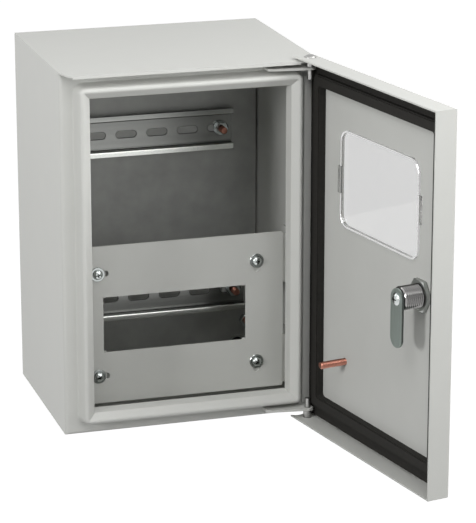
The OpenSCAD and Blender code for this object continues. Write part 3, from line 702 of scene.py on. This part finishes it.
# %% Rubber plugs
HOLE_SIDE = 17 * MM
HOLE_END = 10 * MM
body_low, body_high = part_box("body_shell")
wall_low, wall_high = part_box("back_wall")
wall_thick = wall_high.y - wall_low.y
plug_outline = [(0.6 * MM, 0.1 * MM), (3.1 * MM, 0.1 * MM), (3.4 * MM, 0.4 * MM), (3.4 * MM, wall_thick),
                (5.4 * MM, wall_thick + 0.02 * MM), (5.5 * MM, wall_thick + 0.9 * MM),
                (4.8 * MM, wall_thick + 1.5 * MM), (0.6 * MM, wall_thick + 1.6 * MM)]
lower_holes = body_low.z + HOLE_END
for column, x in (("left", body_low.x + HOLE_SIDE), ("right", body_high.x - HOLE_SIDE)):
    for row, z in (("lower", lower_holes), ("upper", -lower_holes)):
        plug_place = Matrix.Translation((x, wall_high.y, z)) @ facing_front
        piece("wall_plug_" + row + "_" + column, turned(plug_outline, closed=False), plug_place,
              grommet_rubber, "enclosure")
print("wall plugs stand", round(abs(lower_holes), 4), "above and below the middle")

# %% [markdown]
# ## Room and backdrop
# The box hangs on a wall in use, so it is shown in the air over a pale floor that lies well below.
# The backdrop should look white while the lamps stay gentle. A light path node tells camera,
# mirror and glass rays from the rays that carry light, so the floor and the world can look white
# to the first three and stay calm for the rest.

# %% A switch for rays that look instead of light
def looking_rays(tree):
    rays = tree.nodes.new("ShaderNodeLightPath")
    looking = rays.outputs["Is Camera Ray"]
    for kind in ("Is Glossy Ray", "Is Transmission Ray"):
        either = tree.nodes.new("ShaderNodeMath")
        either.operation = "MAXIMUM"
        tree.links.new(looking, either.inputs[0])
        tree.links.new(rays.outputs[kind], either.inputs[1])
        looking = either.outputs["Value"]
    return looking


# %% Floor
FLOOR_DROP = 0.9
FLOOR_HALF = 8
floor_mesh = bmesh.new()
floor_corners = [(-1, -1), (1, -1), (1, 1), (-1, 1)]
floor_mesh.faces.new([floor_mesh.verts.new((x * FLOOR_HALF, y * FLOOR_HALF, 0)) for x, y in floor_corners])
floor = hidden_helper("floor", floor_mesh)
floor.location.z = cad_low.z - FLOOR_DROP
print("floor at", round(floor.location.z, 3))

# %% The floor's finish
floor_finish = finish("floor_finish", (0.62, 0.62, 0.62), 0.9, mottle=0.004, mottle_size=3)
floor_tree = floor_finish.node_tree
glow = floor_tree.nodes.new("ShaderNodeEmission")
floor_tree.links.new(looking_rays(floor_tree), glow.inputs["Strength"])
glow.inputs["Color"].default_value = (0.93, 0.93, 0.93, 1)
shown = floor_tree.nodes.new("ShaderNodeAddShader")
floor_tree.links.new(floor_tree.nodes["Principled BSDF"].outputs["BSDF"], shown.inputs[0])
floor_tree.links.new(glow.outputs["Emission"], shown.inputs[1])
floor_tree.links.new(shown.outputs["Shader"], floor_tree.nodes["Material Output"].inputs["Surface"])
floor.data.materials.append(floor_finish)

# %% World
DOME_STRENGTH = 0.10
world = bpy.data.worlds.new("studio")
bpy.context.scene.world = world
world.use_nodes = True
world_tree = world.node_tree
dome = world_tree.nodes["Background"]
dome.inputs["Color"].default_value = (1, 1, 1, 1)
dome.inputs["Strength"].default_value = DOME_STRENGTH
backdrop = world_tree.nodes.new("ShaderNodeBackground")
backdrop.inputs["Color"].default_value = (1, 1, 1, 1)
backdrop.inputs["Strength"].default_value = 1.0
sky_mix = world_tree.nodes.new("ShaderNodeMixShader")
world_tree.links.new(looking_rays(world_tree), sky_mix.inputs["Fac"])
world_tree.links.new(dome.outputs["Background"], sky_mix.inputs[1])
world_tree.links.new(backdrop.outputs["Background"], sky_mix.inputs[2])
world_tree.links.new(sky_mix.outputs["Shader"], world_tree.nodes["World Output"].inputs["Surface"])

# %% [markdown]
# ## Lamps
# Seven soft lamps stand one to one and a half metres away, so the light of each falls off a little
# across the box, as it does in a small studio. The key lamp on the left is smaller than the rest,
# and throws the soft shadow of the lock on the door. Two high lamps light the roof and the panel,
# two low ones reach under the visor, and two on the left light the side wall. Each row below holds
# the angle from straight in front, the height angle, the distance, the size and the watts.


# %% Soft lamps
LAMP_AIM = Vector((0, -0.1, 0))
LAMPS = [("left_behind", -130, 20, 1.2, 0.7, 2.5),
         ("left_high", -100, 35, 1.1, 0.7, 1.4),
         ("left_key", -62, 13, 1.5, 0.32, 7.8),
         ("front_high", -15, 45, 1.1, 0.7, 4.8),
         ("front_low", 12, 8, 1.3, 0.5, 1.25),
         ("right_low", 30, 12, 1.3, 0.5, 2.5),
         ("right_high", 60, 40, 1.2, 0.6, 9.8)]


def soft_lamp(name, azimuth, elevation, distance, size, watts):
    lamp_data = bpy.data.lights.new(name, "AREA")
    lamp_data.shape = "SQUARE"
    lamp_data.size = size
    lamp_data.energy = watts
    lamp = bpy.data.objects.new(name, lamp_data)
    a = math.radians(azimuth)
    e = math.radians(elevation)
    away = Vector((math.sin(a) * math.cos(e), -math.cos(a) * math.cos(e), math.sin(e)))
    lamp.location = LAMP_AIM + away * distance
    lamp.rotation_mode = "QUATERNION"
    lamp.rotation_quaternion = (-away).to_track_quat("-Z", "Y")
    bpy.context.scene.collection.objects.link(lamp)


for lamp_row in LAMPS:
    soft_lamp(*lamp_row)
print("lamps", len(LAMPS), "with", sum(row[-1] for row in LAMPS), "watts in all")

# %% [markdown]
# ## Camera
# The camera looks a little down and from a little to the left, from just over two metres away with
# a long lens, so that the walls stay nearly parallel. Its place is measured from a point in the
# middle of the front flange, along its own side, look and rise directions. Building these three
# directions first gives both the place and the rotation, with no target object to follow.

# %% Camera
SENSOR = 36.0
LENS_SHARE = 5.0674952
VIEW_YAW = math.radians(16.956)
VIEW_PITCH = math.radians(16.703)
AIM_SIDE = -38.932 * MM
AIM_DEPTH = 2130.8 * MM
AIM_UP = 11.516 * MM
RIM_STANDS_OUT = 12.5 * MM
camera_data = bpy.data.cameras.new("camera")
camera_data.sensor_width = SENSOR
camera_data.lens = SENSOR * LENS_SHARE
camera_data.clip_start = 0.1
camera_data.clip_end = 30
camera = bpy.data.objects.new("camera", camera_data)
bpy.context.scene.collection.objects.link(camera)
side = Vector((math.cos(VIEW_YAW), -math.sin(VIEW_YAW), 0))
level = Vector((math.sin(VIEW_YAW), math.cos(VIEW_YAW), 0))
look = level * math.cos(VIEW_PITCH) - up * math.sin(VIEW_PITCH)
rise = level * math.sin(VIEW_PITCH) + up * math.cos(VIEW_PITCH)
flange_middle = Vector((0, body_low.y + RIM_STANDS_OUT, 0))
camera.location = flange_middle - side * AIM_SIDE - look * AIM_DEPTH - rise * AIM_UP
camera.rotation_mode = "QUATERNION"
camera.rotation_quaternion = Matrix((side, rise, -look)).transposed().to_quaternion()
bpy.context.scene.camera = camera
bpy.context.scene.view_settings.view_transform = "Standard"
print("camera at", [round(v, 3) for v in camera.location])
